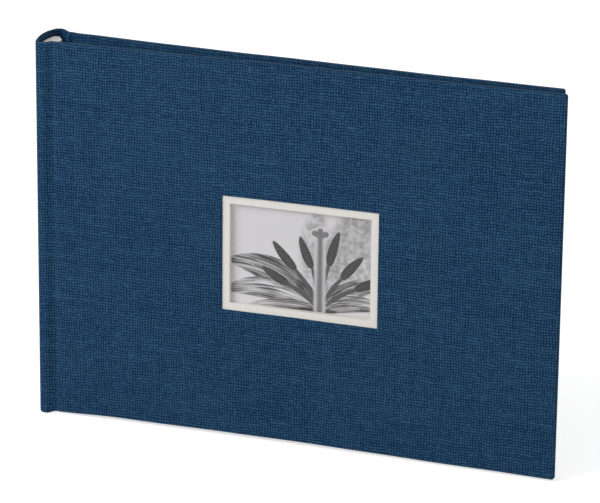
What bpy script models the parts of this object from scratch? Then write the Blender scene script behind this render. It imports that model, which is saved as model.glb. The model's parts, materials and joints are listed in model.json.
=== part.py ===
"""Book-bound photo album, closed and standing on its tail edges.

X runs from the spine to the fore edge, the front cover faces -Y, and +Z is up. The
origin is at the middle of the album's length and thickness, on the tail.
The covers swing on vertical axes beside the spine, and the leaves fan out from
their creases. Every thin piece is a sheet that follows a curve seen from above.
"""

import math

import bmesh
import bpy
from mathutils import Matrix, Vector

MM = 0.001

# Case: two boards and a spine card under one cloth
COVER_WIDTH = 240.0 * MM
COVER_HEIGHT = 170.0 * MM
BACK_SETBACK = 3.3 * MM         # how far the back cover ends short of the front cover
ORIGIN_X = COVER_WIDTH / 2.0    # lengths along X are measured from the spine
FORE_EDGE_HALF = 5.2 * MM       # outside of a cover at the fore edge, from mid-plane
BOARD_START_HALF = 9.9 * MM     # outside of a cover where its board starts
BOARD_START_X = 9.2 * MM
GROOVE_X = 6.3 * MM             # bottom of the joint groove
GROOVE_HALF = 8.8 * MM
SHOULDER_X = 3.5 * MM           # widest line of the rounded spine
SHOULDER_HALF = 11.3 * MM
SPINE_ROUNDNESS = 1.75          # exponent of the spine's oval back

CLOTH = 0.40 * MM
BOARD = 2.00 * MM
SPINE_CARD = 0.75 * MM
TURN_IN = 0.35 * MM
TURN_IN_WIDTH = 14.0 * MM
WINDOW_TURN_IN = 6.0 * MM
PASTEDOWN = 0.15 * MM
GLUE_LINE = 0.05 * MM           # clearance between layers that are glued together
JOINT_GAP = 0.20 * MM           # half the gap between spine cloth and cover cloth

# Depths below the cover's outer face
BOARD_TOP = CLOTH + GLUE_LINE
BOARD_BACK = BOARD_TOP + BOARD
TURN_IN_BACK = BOARD_BACK + GLUE_LINE + TURN_IN
PASTEDOWN_TOP = TURN_IN_BACK + GLUE_LINE
PASTEDOWN_BACK = PASTEDOWN_TOP + PASTEDOWN

# Window in the front cover, its mat and the picture behind it
WINDOW_CENTRE_X = 123.6 * MM
WINDOW_CENTRE_Z = 83.2 * MM
WINDOW_WIDTH = 71.2 * MM
WINDOW_HEIGHT = 52.0 * MM
MAT_BORDER = 3.4 * MM
MAT_RECESS = 0.80 * MM
PICTURE_THICKNESS = 0.18 * MM
PICTURE_MARGIN_X = 4.4 * MM     # picture hidden behind the mat's inner edge
PICTURE_MARGIN_LOW = 5.0 * MM
PICTURE_MARGIN_HIGH = 8.6 * MM
PICTURE_TOP = PASTEDOWN_BACK + 0.07 * MM
PICTURE_BACK = PICTURE_TOP + PICTURE_THICKNESS
POCKET_TOP = PICTURE_BACK + 0.07 * MM
POCKET_BACK = POCKET_TOP + PICTURE_THICKNESS
POCKET_FLANGE = 2.2 * MM
POCKET_CLEARANCE = 0.4 * MM

# Text block
LEAF_COUNT = 12
LEAF = 0.20 * MM
INTERLEAF = 0.04 * MM
FLYLEAF = 0.12 * MM
SHEET_GAP = 0.035 * MM
SQUARE = 3.5 * MM               # how far the covers stand past the leaves at the fore edge
LEAF_MARGIN = 4.6 * MM          # the same at head and tail
ENDPAPER_MARGIN = 4.8 * MM
GUARD_MARGIN = 1.9 * MM         # the guard strips stand a little past the leaves
CREASE_X = 9.5 * MM
CREASE_GAP = 0.1 * MM
STUB_START_X = 2.5 * MM
STUB_END_X = 9.0 * MM
STUB_SLANT = 0.72               # the back of the stub block is trimmed on a slant
STUB_SLANT_START = 2.3 * MM
STUB_HALF = 6.65 * MM           # half the thickness of the stub block
STUB_ROUNDING = 0.9 * MM
CONVERGENCE = 5.5               # how soon the leaves close up after the crease
MULL = 0.20 * MM
LINING = 0.15 * MM

# Mesh steps
COVER_STEPS = 12
LEAF_STEPS = 12
SHOULDER_STEPS = 3
SPINE_STEPS = 9

NAVY_CLOTH = (0.017, 0.048, 0.107)
GREY_BOARD = (0.42, 0.40, 0.36)
MAT_WHITE = (0.73, 0.70, 0.65)
PAPER_WHITE = (0.84, 0.83, 0.79)
PICTURE_GREY = (0.62, 0.61, 0.62)
GLASSINE_WHITE = (0.80, 0.80, 0.77)
MULL_CREAM = (0.70, 0.65, 0.54)


def clear_scene():
    for old in list(bpy.data.objects):
        bpy.data.objects.remove(old, do_unlink=True)


def make_material(name, colour, roughness, metallic=0.0):
    material = bpy.data.materials.new(name)
    material.use_nodes = True
    shader = material.node_tree.nodes["Principled BSDF"]
    shader.inputs["Base Color"].default_value = (*colour, 1.0)
    shader.inputs["Roughness"].default_value = roughness
    shader.inputs["Metallic"].default_value = metallic
    return material


def spread(first, last, steps, grading=1.0):
    """Values from first to last; a grading over 1 packs them towards first."""
    return [first + (last - first) * (i / steps) ** grading for i in range(steps + 1)]


def merged(*lists):
    """Sorted grid lines, with lines closer than a hair taken as one."""
    lines = []
    for value in sorted(v for values in lists for v in values):
        if not lines or value - lines[-1] > 0.02 * MM:
            lines.append(value)
    return lines


def smooth_between(x, x_start, x_end, y_start, y_end):
    u = min(max((x - x_start) / (x_end - x_start), 0.0), 1.0)
    return y_start + (y_end - y_start) * u * u * (3.0 - 2.0 * u)


def cover_half(x):
    """Distance from the mid-plane to the outside of the case, from the shoulder on."""
    if x < GROOVE_X:
        return smooth_between(x, SHOULDER_X, GROOVE_X, SHOULDER_HALF, GROOVE_HALF)
    if x < BOARD_START_X:
        return smooth_between(x, GROOVE_X, BOARD_START_X, GROOVE_HALF, BOARD_START_HALF)
    u = (COVER_WIDTH - x) / (COVER_WIDTH - BOARD_START_X)
    return FORE_EDGE_HALF + (BOARD_START_HALF - FORE_EDGE_HALF) * u * u


def cover_columns(lines, side):
    """Points and inward normals on the outside of a cover; side is -1 at the front."""
    return [(x, side * cover_half(x), 0.0, -side) for x in lines]


def spine_point(turn):
    """Point on the rounded spine; turn runs from -1 at one shoulder to 1 at the other."""
    angle = abs(turn) * math.pi / 2.0
    x = SHOULDER_X * (1.0 - math.cos(angle))
    y = SHOULDER_HALF * math.sin(angle) ** (2.0 / SPINE_ROUNDNESS)
    return Vector((x, math.copysign(y, turn)))


def spine_outline():
    """Outline of the case from one joint groove round the spine to the other."""
    groove_end = GROOVE_X - JOINT_GAP
    flank = [Vector((x, cover_half(x))) for x in spread(groove_end, SHOULDER_X, SHOULDER_STEPS)]
    back = [spine_point(turn) for turn in spread(1.0, -1.0, 2 * SPINE_STEPS)]
    mirrored = [Vector((p.x, -p.y)) for p in reversed(flank)]
    return flank + back[1:-1] + mirrored


def outline_columns(points):
    """Columns at the points of an outline, with normals that point into the case."""
    columns = []
    for i, point in enumerate(points):
        along = points[min(i + 1, len(points) - 1)] - points[max(i - 1, 0)]
        inward = Vector((-along.y, along.x)).normalized()
        columns.append((point.x, point.y, inward.x, inward.y))
    return columns


def sheet(name, material, columns, depths, zs, filled=None, pivot=(0.0, 0.0)):
    """One closed solid from the filled cells of a grid.

    The grid runs along the columns, down through depths and up through zs. A column is
    a point and a depth direction, seen from above, so a sheet can follow any curve.
    """
    mesh = bpy.data.meshes.new(name)
    bm = bmesh.new()
    corners = {}

    def corner(i, j, k):
        if (i, j, k) not in corners:
            x, y, along_x, along_y = columns[i]
            place = (x + along_x * depths[j] - pivot[0], y + along_y * depths[j] - pivot[1], zs[k])
            corners[(i, j, k)] = bm.verts.new(place)
        return corners[(i, j, k)]

    counts = (len(columns) - 1, len(depths) - 1, len(zs) - 1)

    def solid(cell):
        inside = all(0 <= cell[a] < counts[a] for a in range(3))
        return inside and (filled is None or filled(*cell))

    for i in range(counts[0]):
        for j in range(counts[1]):
            for k in range(counts[2]):
                if not solid((i, j, k)):
                    continue
                for axis in range(3):
                    for step in (0, 1):
                        beyond = [i, j, k]
                        beyond[axis] += 2 * step - 1
                        if solid(tuple(beyond)):
                            continue
                        u, v = (axis + 1) % 3, (axis + 2) % 3
                        ring = []
                        for du, dv in ((0, 0), (1, 0), (1, 1), (0, 1)):
                            place = [i, j, k]
                            place[axis] += step
                            place[u] += du
                            place[v] += dv
                            ring.append(corner(*place))
                        bm.faces.new(ring)
    bmesh.ops.recalc_face_normals(bm, faces=bm.faces)
    bm.to_mesh(mesh)
    bm.free()
    mesh.materials.append(material)
    body = bpy.data.objects.new(name, mesh)
    body.location = (pivot[0] - ORIGIN_X, pivot[1], 0.0)
    bpy.context.scene.collection.objects.link(body)
    return body


def middle(lines, index):
    return 0.5 * (lines[index] + lines[index + 1])


def window_edges(grow=0.0):
    """Low x, high x, low z and high z of the window, grown on every side."""
    half_width = WINDOW_WIDTH / 2.0 + grow
    half_height = WINDOW_HEIGHT / 2.0 + grow
    return (WINDOW_CENTRE_X - half_width, WINDOW_CENTRE_X + half_width,
            WINDOW_CENTRE_Z - half_height, WINDOW_CENTRE_Z + half_height)


def within(x, z, edges):
    return edges[0] < x < edges[1] and edges[2] < z < edges[3]


def cover_end(side):
    """Fore edge of a cover, measured from the spine."""
    return COVER_WIDTH if side < 0 else COVER_WIDTH - BACK_SETBACK


def make_board(name, material, side, has_window):
    """Stiff board under a cover's cloth, cut out where the window is."""
    reach = CLOTH + GLUE_LINE
    opening = window_edges(reach)
    xs = spread(BOARD_START_X + GLUE_LINE, cover_end(side) - reach, COVER_STEPS)
    zs = [reach, COVER_HEIGHT - reach]
    if has_window:
        xs = merged(xs, opening[:2])
        zs = merged(zs, opening[2:])

    def filled(i, j, k):
        return not (has_window and within(middle(xs, i), middle(zs, k), opening))

    return sheet(name, material, cover_columns(xs, side), [BOARD_TOP, BOARD_BACK], zs, filled)


def make_cover_cloth(name, material, side, has_window):
    """Cloth over a board, turned in at head, tail and fore edge and round the window."""
    window = window_edges()
    lining = window_edges(CLOTH)
    window_fold = window_edges(WINDOW_TURN_IN)
    end = cover_end(side)
    flange = spread(GROOVE_X + JOINT_GAP, BOARD_START_X, SHOULDER_STEPS)
    xs = merged(flange, spread(BOARD_START_X, end, COVER_STEPS),
                [end - TURN_IN_WIDTH, end - CLOTH])
    zs = [0.0, CLOTH, TURN_IN_WIDTH, COVER_HEIGHT - TURN_IN_WIDTH,
          COVER_HEIGHT - CLOTH, COVER_HEIGHT]
    if has_window:
        xs = merged(xs, window[:2], lining[:2], window_fold[:2])
        zs = merged(zs, window[2:], lining[2:], window_fold[2:])

    def filled(i, j, k):
        x, z = middle(xs, i), middle(zs, k)
        if has_window and within(x, z, window):
            return False
        if j == 0:
            return True
        if x < BOARD_START_X:
            return False
        edge = CLOTH if j == 1 else TURN_IN_WIDTH
        fold = lining if j == 1 else window_fold
        on_edge = x > end - edge or not edge < z < COVER_HEIGHT - edge
        return on_edge or (has_window and within(x, z, fold))

    depths = [0.0, CLOTH, BOARD_BACK + GLUE_LINE, TURN_IN_BACK]
    return sheet(name, material, cover_columns(xs, side), depths, zs, filled)


def make_pastedown(name, material, side, has_window):
    """Endpaper pasted over the inside of a cover and the edges of its turn-ins."""
    opening = window_edges(GLUE_LINE)
    xs = spread(BOARD_START_X + GLUE_LINE, cover_end(side) - ENDPAPER_MARGIN, COVER_STEPS)
    zs = [ENDPAPER_MARGIN, COVER_HEIGHT - ENDPAPER_MARGIN]
    if has_window:
        xs = merged(xs, opening[:2])
        zs = merged(zs, opening[2:])

    def filled(i, j, k):
        return not (has_window and within(middle(xs, i), middle(zs, k), opening))

    columns = cover_columns(xs, side)
    return sheet(name, material, columns, [PASTEDOWN_TOP, PASTEDOWN_BACK], zs, filled)


def make_window_mat(material):
    """Thick card frame set into the window, a little below the cloth."""
    outer = window_edges(-2.0 * GLUE_LINE)
    inner = window_edges(-MAT_BORDER)
    xs = merged(spread(outer[0], outer[1], 4), inner[:2])
    zs = [outer[2], inner[2], inner[3], outer[3]]

    def filled(i, j, k):
        return not within(middle(xs, i), middle(zs, k), inner)

    depths = [MAT_RECESS, PASTEDOWN_BACK - GLUE_LINE]
    return sheet("window_mat", material, cover_columns(xs, -1), depths, zs, filled)


def picture_edges():
    sight = window_edges(-MAT_BORDER)
    return (sight[0] - PICTURE_MARGIN_X, sight[1] + PICTURE_MARGIN_X,
            sight[2] - PICTURE_MARGIN_LOW, sight[3] + PICTURE_MARGIN_HIGH)


def make_cover_picture(material):
    edges = picture_edges()
    columns = cover_columns(spread(edges[0], edges[1], 4), -1)
    return sheet("cover_picture", material, columns, [PICTURE_TOP, PICTURE_BACK], edges[2:])


def make_picture_pocket(material):
    """Backing glued to the pastedown on three sides, open at the head."""
    left, right, low, high = picture_edges()
    left -= POCKET_CLEARANCE
    right += POCKET_CLEARANCE
    low -= POCKET_CLEARANCE
    xs = merged(spread(left - POCKET_FLANGE, right + POCKET_FLANGE, 4), [left, right])
    zs = [low - POCKET_FLANGE, low, high - 2.0 * MM]

    def filled(i, j, k):
        on_flange = not left < middle(xs, i) < right or k == 0
        return j == 1 or on_flange

    depths = [PASTEDOWN_BACK + 0.02 * MM, POCKET_TOP, POCKET_BACK]
    return sheet("picture_pocket", material, cover_columns(xs, -1), depths, zs, filled)


def make_spine_cloth(material):
    """Cloth round the spine from groove to groove, turned in over the spine card."""
    points = spine_outline()
    zs = [0.0, CLOTH, TURN_IN_WIDTH, COVER_HEIGHT - TURN_IN_WIDTH,
          COVER_HEIGHT - CLOTH, COVER_HEIGHT]
    depths = [0.0, CLOTH, CLOTH + SPINE_CARD + 2.0 * GLUE_LINE,
              CLOTH + SPINE_CARD + 2.0 * GLUE_LINE + TURN_IN]
    first_card, last_card = card_span()

    def filled(i, j, k):
        if j == 0:
            return True
        at_end = k in (0, len(zs) - 2)
        at_fold = k in (1, len(zs) - 3)
        return first_card <= i < last_card and (at_end or (j == 2 and at_fold))

    return sheet("spine_cloth", material, outline_columns(points), depths, zs, filled)


def card_span():
    """First and last outline points that the spine card lies under."""
    margin = SHOULDER_STEPS + 3
    return margin, len(spine_outline()) - 1 - margin


def make_spine_card(material):
    """Flexible card that keeps the spine's rounded shape."""
    first, last = card_span()
    columns = outline_columns(spine_outline())[first:last + 1]
    edge = CLOTH + GLUE_LINE
    depths = [edge, edge + SPINE_CARD]
    return sheet("spine_card", material, columns, depths, [edge, COVER_HEIGHT - edge])


def stub_back(y):
    """Back of the stub block, rounded like the spine."""
    return STUB_START_X + STUB_ROUNDING * (y / STUB_HALF) ** 2


def make_back_lining(name, material, gap, thickness, margin):
    """Strip glued over the rounded back of the stub block."""
    columns = []
    for y in spread(-STUB_HALF + margin, STUB_HALF - margin, 6):
        columns.append((stub_back(y) - gap, y, -1.0, 0.0))
    zs = [SQUARE + 4.0 * MM, COVER_HEIGHT - SQUARE - 4.0 * MM]
    return sheet(name, material, columns, [0.0, thickness], zs)


def stub_end(y):
    """Front of the stub block, where the leaves leave it."""
    return STUB_END_X - STUB_SLANT * max(y - STUB_SLANT_START, 0.0)


def stub_pitch():
    return 2.0 * STUB_HALF / (LEAF_COUNT + 1)


def make_guard(number, material):
    """Guard strip that spaces two neighbouring leaves at the spine."""
    low = -STUB_HALF + (number - 1) * stub_pitch() + GLUE_LINE
    high = low + stub_pitch() - 2.0 * GLUE_LINE
    columns = [(stub_back(y), y, stub_end(y) - stub_back(y), 0.0) for y in (low, high)]
    zs = [GUARD_MARGIN, COVER_HEIGHT - GUARD_MARGIN]
    return sheet(f"guard_strip_{number:02d}", material, columns, [0.0, 1.0], zs)


def sheet_stack():
    """Every leaf, flyleaf and interleaf from front to back.

    Each entry is a name, a thickness, and the places of its middle at the crease and
    at the fore edge, measured from the mid-plane.
    """
    entries = [("front_flyleaf", FLYLEAF, 0.0)]
    for number in range(1, LEAF_COUNT + 1):
        entries.append((f"leaf_{number:02d}", LEAF, float(number)))
        if number < LEAF_COUNT:
            entries.append((f"interleaf_{number:02d}", INTERLEAF, number + 0.5))
    entries.append(("back_flyleaf", FLYLEAF, LEAF_COUNT + 1.0))
    total = sum(entry[1] for entry in entries) + SHEET_GAP * (len(entries) - 1)
    stack = []
    edge = -total / 2.0
    for name, thickness, place in entries:
        stack.append((name, thickness, -STUB_HALF + place * stub_pitch(), edge + thickness / 2.0))
        edge += thickness + SHEET_GAP
    return stack


def make_sheet_of_block(name, material, thickness, at_crease, at_fore_edge):
    """A leaf from its crease to the fore edge, with its origin on the crease."""
    first, last = CREASE_X + CREASE_GAP, cover_end(1) - SQUARE
    columns = []
    for x in spread(first, last, LEAF_STEPS, 1.5):
        closing = ((last - x) / (last - first)) ** CONVERGENCE
        y = at_fore_edge + (at_crease - at_fore_edge) * closing
        columns.append((x, y - thickness / 2.0, 0.0, 1.0))
    zs = [LEAF_MARGIN, COVER_HEIGHT - LEAF_MARGIN]
    return sheet(name, material, columns, [0.0, thickness], zs, pivot=(CREASE_X, at_crease))


def joint_axis(side):
    """Line that a cover swings about, outside its joint groove, measured from the spine."""
    return (GROOVE_X - 0.1 * MM, side * (SHOULDER_HALF - 0.5 * MM))


def hang_on_joint(name, side, pieces):
    """Parent a cover's pieces to an empty on the cover's joint axis."""
    pivot = bpy.data.objects.new(name, None)
    x, y = joint_axis(side)
    pivot.location = (x - ORIGIN_X, y, 0.0)
    bpy.context.scene.collection.objects.link(pivot)
    for piece in pieces:
        piece.parent = pivot
        piece.matrix_parent_inverse = Matrix.Translation(-pivot.location)


def build_front_cover(cloth, board, paper, mat, photo):
    pieces = [
        make_cover_cloth("front_cover_cloth", cloth, -1, True),
        make_board("front_board", board, -1, True),
        make_pastedown("front_pastedown", paper, -1, True),
        make_window_mat(mat),
        make_cover_picture(photo),
        make_picture_pocket(paper),
    ]
    hang_on_joint("front_cover_pivot", -1, pieces)


def build_back_cover(cloth, board, paper):
    pieces = [
        make_cover_cloth("back_cover_cloth", cloth, 1, False),
        make_board("back_board", board, 1, False),
        make_pastedown("back_pastedown", paper, 1, False),
    ]
    hang_on_joint("back_cover_pivot", 1, pieces)


def build_spine(cloth, board, paper, gauze):
    make_spine_cloth(cloth)
    make_spine_card(board)
    make_back_lining("spine_mull", gauze, GLUE_LINE, MULL, 0.3 * MM)
    make_back_lining("spine_lining_paper", paper, 2.0 * GLUE_LINE + MULL, LINING, 0.6 * MM)
    for number in range(1, LEAF_COUNT + 2):
        make_guard(number, paper)


def build_leaves(paper, glassine):
    for name, thickness, at_crease, at_fore_edge in sheet_stack():
        material = glassine if name.startswith("interleaf") else paper
        make_sheet_of_block(name, material, thickness, at_crease, at_fore_edge)


def main():
    clear_scene()
    cloth = make_material("navy_book_cloth", NAVY_CLOTH, 0.85)
    board = make_material("grey_board", GREY_BOARD, 0.9)
    paper = make_material("white_paper", PAPER_WHITE, 0.75)
    mat = make_material("mat_card", MAT_WHITE, 0.8)
    photo = make_material("photo_print", PICTURE_GREY, 0.35)
    glassine = make_material("glassine", GLASSINE_WHITE, 0.3)
    gauze = make_material("cotton_mull", MULL_CREAM, 0.95)
    build_front_cover(cloth, board, paper, mat, photo)
    build_back_cover(cloth, board, paper)
    build_spine(cloth, board, paper, gauze)
    build_leaves(paper, glassine)


main()
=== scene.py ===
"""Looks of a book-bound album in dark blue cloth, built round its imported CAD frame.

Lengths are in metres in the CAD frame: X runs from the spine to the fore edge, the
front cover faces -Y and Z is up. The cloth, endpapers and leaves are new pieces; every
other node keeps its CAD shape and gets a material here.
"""

import json
import math

import bpy
import numpy as np
from mathutils import Matrix, Vector


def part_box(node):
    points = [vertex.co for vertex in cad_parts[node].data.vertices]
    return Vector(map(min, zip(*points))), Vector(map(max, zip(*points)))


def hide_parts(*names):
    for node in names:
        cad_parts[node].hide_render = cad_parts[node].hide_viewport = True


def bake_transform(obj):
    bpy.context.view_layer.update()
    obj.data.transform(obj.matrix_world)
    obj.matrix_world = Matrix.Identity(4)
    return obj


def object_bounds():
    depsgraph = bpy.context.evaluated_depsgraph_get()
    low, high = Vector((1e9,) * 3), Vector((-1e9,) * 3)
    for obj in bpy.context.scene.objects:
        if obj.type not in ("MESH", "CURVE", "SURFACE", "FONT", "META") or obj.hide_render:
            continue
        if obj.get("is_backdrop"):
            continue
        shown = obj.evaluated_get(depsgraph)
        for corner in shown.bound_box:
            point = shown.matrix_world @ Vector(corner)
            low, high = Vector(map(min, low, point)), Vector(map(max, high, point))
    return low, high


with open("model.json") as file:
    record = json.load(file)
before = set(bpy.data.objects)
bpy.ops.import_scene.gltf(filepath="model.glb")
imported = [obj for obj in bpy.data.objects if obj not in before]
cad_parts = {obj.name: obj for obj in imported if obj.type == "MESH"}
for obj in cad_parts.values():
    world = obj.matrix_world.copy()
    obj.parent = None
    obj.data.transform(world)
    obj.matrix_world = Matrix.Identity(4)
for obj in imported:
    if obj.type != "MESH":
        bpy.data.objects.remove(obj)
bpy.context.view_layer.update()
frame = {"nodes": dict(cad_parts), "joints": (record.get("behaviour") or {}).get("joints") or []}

MM = 0.001

# ---------------------------------------------------------------- places in the frame
spine_low, spine_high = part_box("spine_cloth")
cover_low, cover_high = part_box("front_cover_cloth")
back_cover_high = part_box("back_cover_cloth")[1]
board_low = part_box("front_board")[0]
card_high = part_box("spine_card")[1]
mat_low, mat_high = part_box("window_mat")
guard_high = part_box("guard_strip_07")[1]

SPINE_X = spine_low.x
HEIGHT = cover_high.z
COVER_THICK = 2.85 * MM          # cloth, board and turned-in cloth together
SHOULDER_X = SPINE_X + 3.5 * MM  # widest line of the rounded spine
SHOULDER_HALF = spine_high.y
SPINE_ROUNDNESS = 1.75           # 2 is an ellipse, less is more pointed
JOINT_X = 0.5 * (spine_high.x + cover_low.x)
BOARD_X = board_low.x - 0.05 * MM
BOARD_HALF = -cover_low.y
FALL_X = SHOULDER_X + 1.7 * MM   # the cloth falls from here to the groove at the board's edge
GROOVE_X = board_low.x + 1.0 * MM
GROOVE_DEPTH = 0.38 * MM         # below the board's face
LAND_X = GROOVE_X + 0.7 * MM     # the cloth lies on the board from here on
FORE_X = cover_high.x
FORE_HALF = COVER_THICK - cover_high.y

MAT_GAP = 0.1 * MM
WINDOW = (mat_low.x - MAT_GAP, mat_high.x + MAT_GAP, mat_low.z - MAT_GAP, mat_high.z + MAT_GAP)
MAT_BORDER = 3.4 * MM            # width of mat that shows round the print
SIGHT = (WINDOW[0] + MAT_BORDER, WINDOW[1] - MAT_BORDER,
         WINDOW[2] + MAT_BORDER, WINDOW[3] - MAT_BORDER)

# ---------------------------------------------------------------- cloth
CLOTH = 0.38 * MM
TINY = 1e-7
EDGE_RADIUS = 0.75 * MM
CORNER_RADIUS = 1.1 * MM
CORNER_LEAST = 0.35 * MM         # what is left of it where the cloth is turned in
TURN_IN_WIDTH = 14.0 * MM
TURN_IN_SHARES = (0.1, 0.3, 0.6, 0.85, 0.97, 1.0)
TURN_IN_SINK = 0.15 * MM         # the cover's edge is this much thinner beside the groove
WINDOW_TURN_IN = 6.0 * MM
WINDOW_RADIUS = 0.55 * MM
ROUND_STEPS = 6                  # faces in each quarter of a rounded edge
SPINE_THICK = 1.6 * MM           # cloth, card and turn-in at the spine
JOINT_THICK = 0.85 * MM          # two layers of cloth in the joint
THREAD_PITCH = 1.24 * MM
SPINE_RISE = 0.75 * MM           # spine cloth above the covers at the head
SPINE_DROP = 0.75 * MM           # and below them at the tail
TAIL_ARCH = 0.22 * MM            # height of the covers' lower edge at its middle
TAIL_DIP_AT_SPINE = 0.85 * MM    # how much lower than that it is beside the spine
TAIL_DIP_AT_FORE_EDGE = 0.60 * MM
TAIL_FADE_AT_SPINE = 36.0 * MM   # length over which the first of them fades
TAIL_FORE_START, TAIL_FORE_END = 140.0 * MM, 215.0 * MM  # stretch where the second comes in
HEAD_GAP = 0.09 * MM             # between the head and the CAD frame's top
UNEVENNESS = 0.07 * MM


def smoothstep(value, start, end):
    u = np.clip((value - start) / (end - start), 0.0, 1.0)
    return u * u * (3.0 - 2.0 * u)


def board_half(x):
    """Distance from the mid-plane to the outside of a cover."""
    u = (FORE_X - x) / (FORE_X - BOARD_X)
    return FORE_HALF + (BOARD_HALF - FORE_HALF) * u * u


def case_half(x):
    """Distance from the mid-plane to the outside of the case, past the shoulder."""
    groove_half = board_half(GROOVE_X) - GROOVE_DEPTH
    into = SHOULDER_HALF + (groove_half - SHOULDER_HALF) * smoothstep(x, FALL_X, GROOVE_X)
    out = board_half(x) - GROOVE_DEPTH * (1.0 - smoothstep(x, GROOVE_X, LAND_X))
    return np.where(x < GROOVE_X, into, out)


class Outline:
    """Outside of one half of the case seen from above, by arc length from the spine."""

    SPACING = 0.05 * MM
    SMOOTHING = 16               # spacings to each side, for the directions only

    def __init__(self):
        turn = np.linspace(0.0, math.pi / 2.0, 121)[:-1]
        spine_x = SPINE_X + (SHOULDER_X - SPINE_X) * (1.0 - np.cos(turn))
        spine_half = SHOULDER_HALF * np.sin(turn) ** (2.0 / SPINE_ROUNDNESS)
        flank_x = np.linspace(SHOULDER_X, LAND_X, 181)[:-1]
        board_x = np.linspace(LAND_X, FORE_X + 2.0 * MM, 400)
        rest = np.concatenate([flank_x, board_x])
        x = np.concatenate([spine_x, rest])
        half = np.concatenate([spine_half, case_half(rest)])
        step = np.hypot(np.diff(x), np.diff(half))
        arc = np.concatenate([[0.0], np.cumsum(step)])
        even = np.arange(0.0, arc[-1], self.SPACING)
        self.arc = even
        self.x = np.interp(even, arc, x)
        self.half = np.interp(even, arc, half)
        tangent_x, tangent_half = np.gradient(self.x), np.gradient(self.half)
        angle = np.unwrap(np.arctan2(tangent_half, tangent_x))
        angle[0] = math.pi / 2.0
        reach = self.SMOOTHING
        padded = np.concatenate([math.pi - angle[reach:0:-1], angle, np.full(reach, angle[-1])])
        window = np.hanning(2 * reach + 1)
        self.angle = np.convolve(padded, window / window.sum(), mode="valid")
        self.shoulder = self.at(SHOULDER_X)
        self.joint = self.at(JOINT_X)
        self.land = self.at(LAND_X)
        self.board = self.at(BOARD_X)
        self.card = self.at(card_high.x)

    def at(self, x):
        """Arc length where the outline, past the shoulder, reaches x."""
        return float(np.interp(x, self.x, self.arc))

    def place(self, arc, depth):
        """x and distance from the mid-plane at a depth below the outside."""
        angle = np.interp(arc, self.arc, self.angle)
        x = np.interp(arc, self.arc, self.x) + depth * np.sin(angle)
        half = np.interp(arc, self.arc, self.half) - depth * np.cos(angle)
        return x, half


OUTLINE = Outline()


def graded(first, last, count, power=1.0):
    """Grid lines of one run, even or, with a power above 1, closer together at first."""
    return first + (last - first) * np.linspace(0.0, 1.0, count + 1) ** power


def joined(*parts):
    """Grid lines from several runs, sorted, with near doubles dropped."""
    lines = np.sort(np.concatenate(parts))
    keep = np.concatenate([[True], np.diff(lines) > 0.04 * MM])
    return lines[keep]


def thickness_along(arc):
    """Thickness of the case's edge at head and tail.

    It tapers off just past the spine's card and comes up to a cover's just before the board.
    Beside the groove it stays thin enough to keep the turn-in under the endpaper.
    """
    spine = 1.0 - smoothstep(arc, OUTLINE.card + 0.2 * MM, OUTLINE.card + 1.9 * MM)
    board = smoothstep(arc, OUTLINE.board - 1.7 * MM, OUTLINE.board - 0.2 * MM)
    x = np.interp(arc, OUTLINE.arc, OUTLINE.x)
    groove = np.clip(board_half(x) - np.interp(arc, OUTLINE.arc, OUTLINE.half), 0.0, GROOVE_DEPTH)
    sink = TURN_IN_SINK * (1.0 - smoothstep(arc, OUTLINE.land, OUTLINE.land + 3.0 * MM))
    at_board = COVER_THICK - groove - sink
    return JOINT_THICK + (SPINE_THICK - JOINT_THICK) * spine + (at_board - JOINT_THICK) * board


def radius_along(arc):
    """Radius of the case's edge, which can't pass half of its thickness."""
    return np.minimum(EDGE_RADIUS, 0.48 * thickness_along(arc))


def wobble(arc, phase):
    """Slight unevenness of a cloth-covered edge."""
    return UNEVENNESS * (np.sin(arc * 61.0 + phase) + 0.6 * np.sin(arc * 143.0 + 2.1 * phase))


def tail_line(arc):
    """Lower edge of the cloth, which arches a little between the spine and the fore edge."""
    spine = 1.0 - smoothstep(arc, OUTLINE.joint - 1.0 * MM, OUTLINE.board)
    near_spine = 1.0 - smoothstep(arc, OUTLINE.joint, OUTLINE.joint + TAIL_FADE_AT_SPINE)
    near_fore = smoothstep(arc, TAIL_FORE_START, TAIL_FORE_END)
    arch = TAIL_ARCH - TAIL_DIP_AT_SPINE * near_spine - TAIL_DIP_AT_FORE_EDGE * near_fore
    return arch - SPINE_DROP * spine + wobble(arc, 0.7)


def head_line(arc, side):
    """Upper edge of the cloth, which rises over the spine towards the back cover."""
    across = side * arc
    rise = smoothstep(across, -OUTLINE.shoulder, 0.4 * OUTLINE.joint)
    rise = rise * (1.0 - smoothstep(across, OUTLINE.joint - 2.0 * MM, OUTLINE.board + 5.0 * MM))
    return HEIGHT + SPINE_RISE * rise - HEAD_GAP - wobble(arc, 2.9)


def edge_profile(radius, thick, reach):
    """Steps from the outer face round an edge to the end of the turn-in.

    Each step is an inset from the edge, a depth and the length of cloth used so far.
    """
    steps = []
    for k in range(1, ROUND_STEPS + 1):
        turn = math.pi / 2.0 * k / ROUND_STEPS
        steps.append((radius * (1.0 - math.sin(turn)), radius * (1.0 - math.cos(turn)), radius * turn))
    used = radius * math.pi / 2.0
    flat = thick - 2.0 * radius
    for k in range(ROUND_STEPS + 1):
        turn = math.pi / 2.0 * k / ROUND_STEPS
        inset = radius * (1.0 - math.cos(turn))
        depth = thick - radius + radius * math.sin(turn)
        steps.append((inset, depth, used + flat + radius * turn))
    used += flat + radius * math.pi / 2.0
    for share in TURN_IN_SHARES:
        inset = radius + (reach - radius) * share
        steps.append((inset, thick, used + inset - radius))
    return steps


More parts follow.
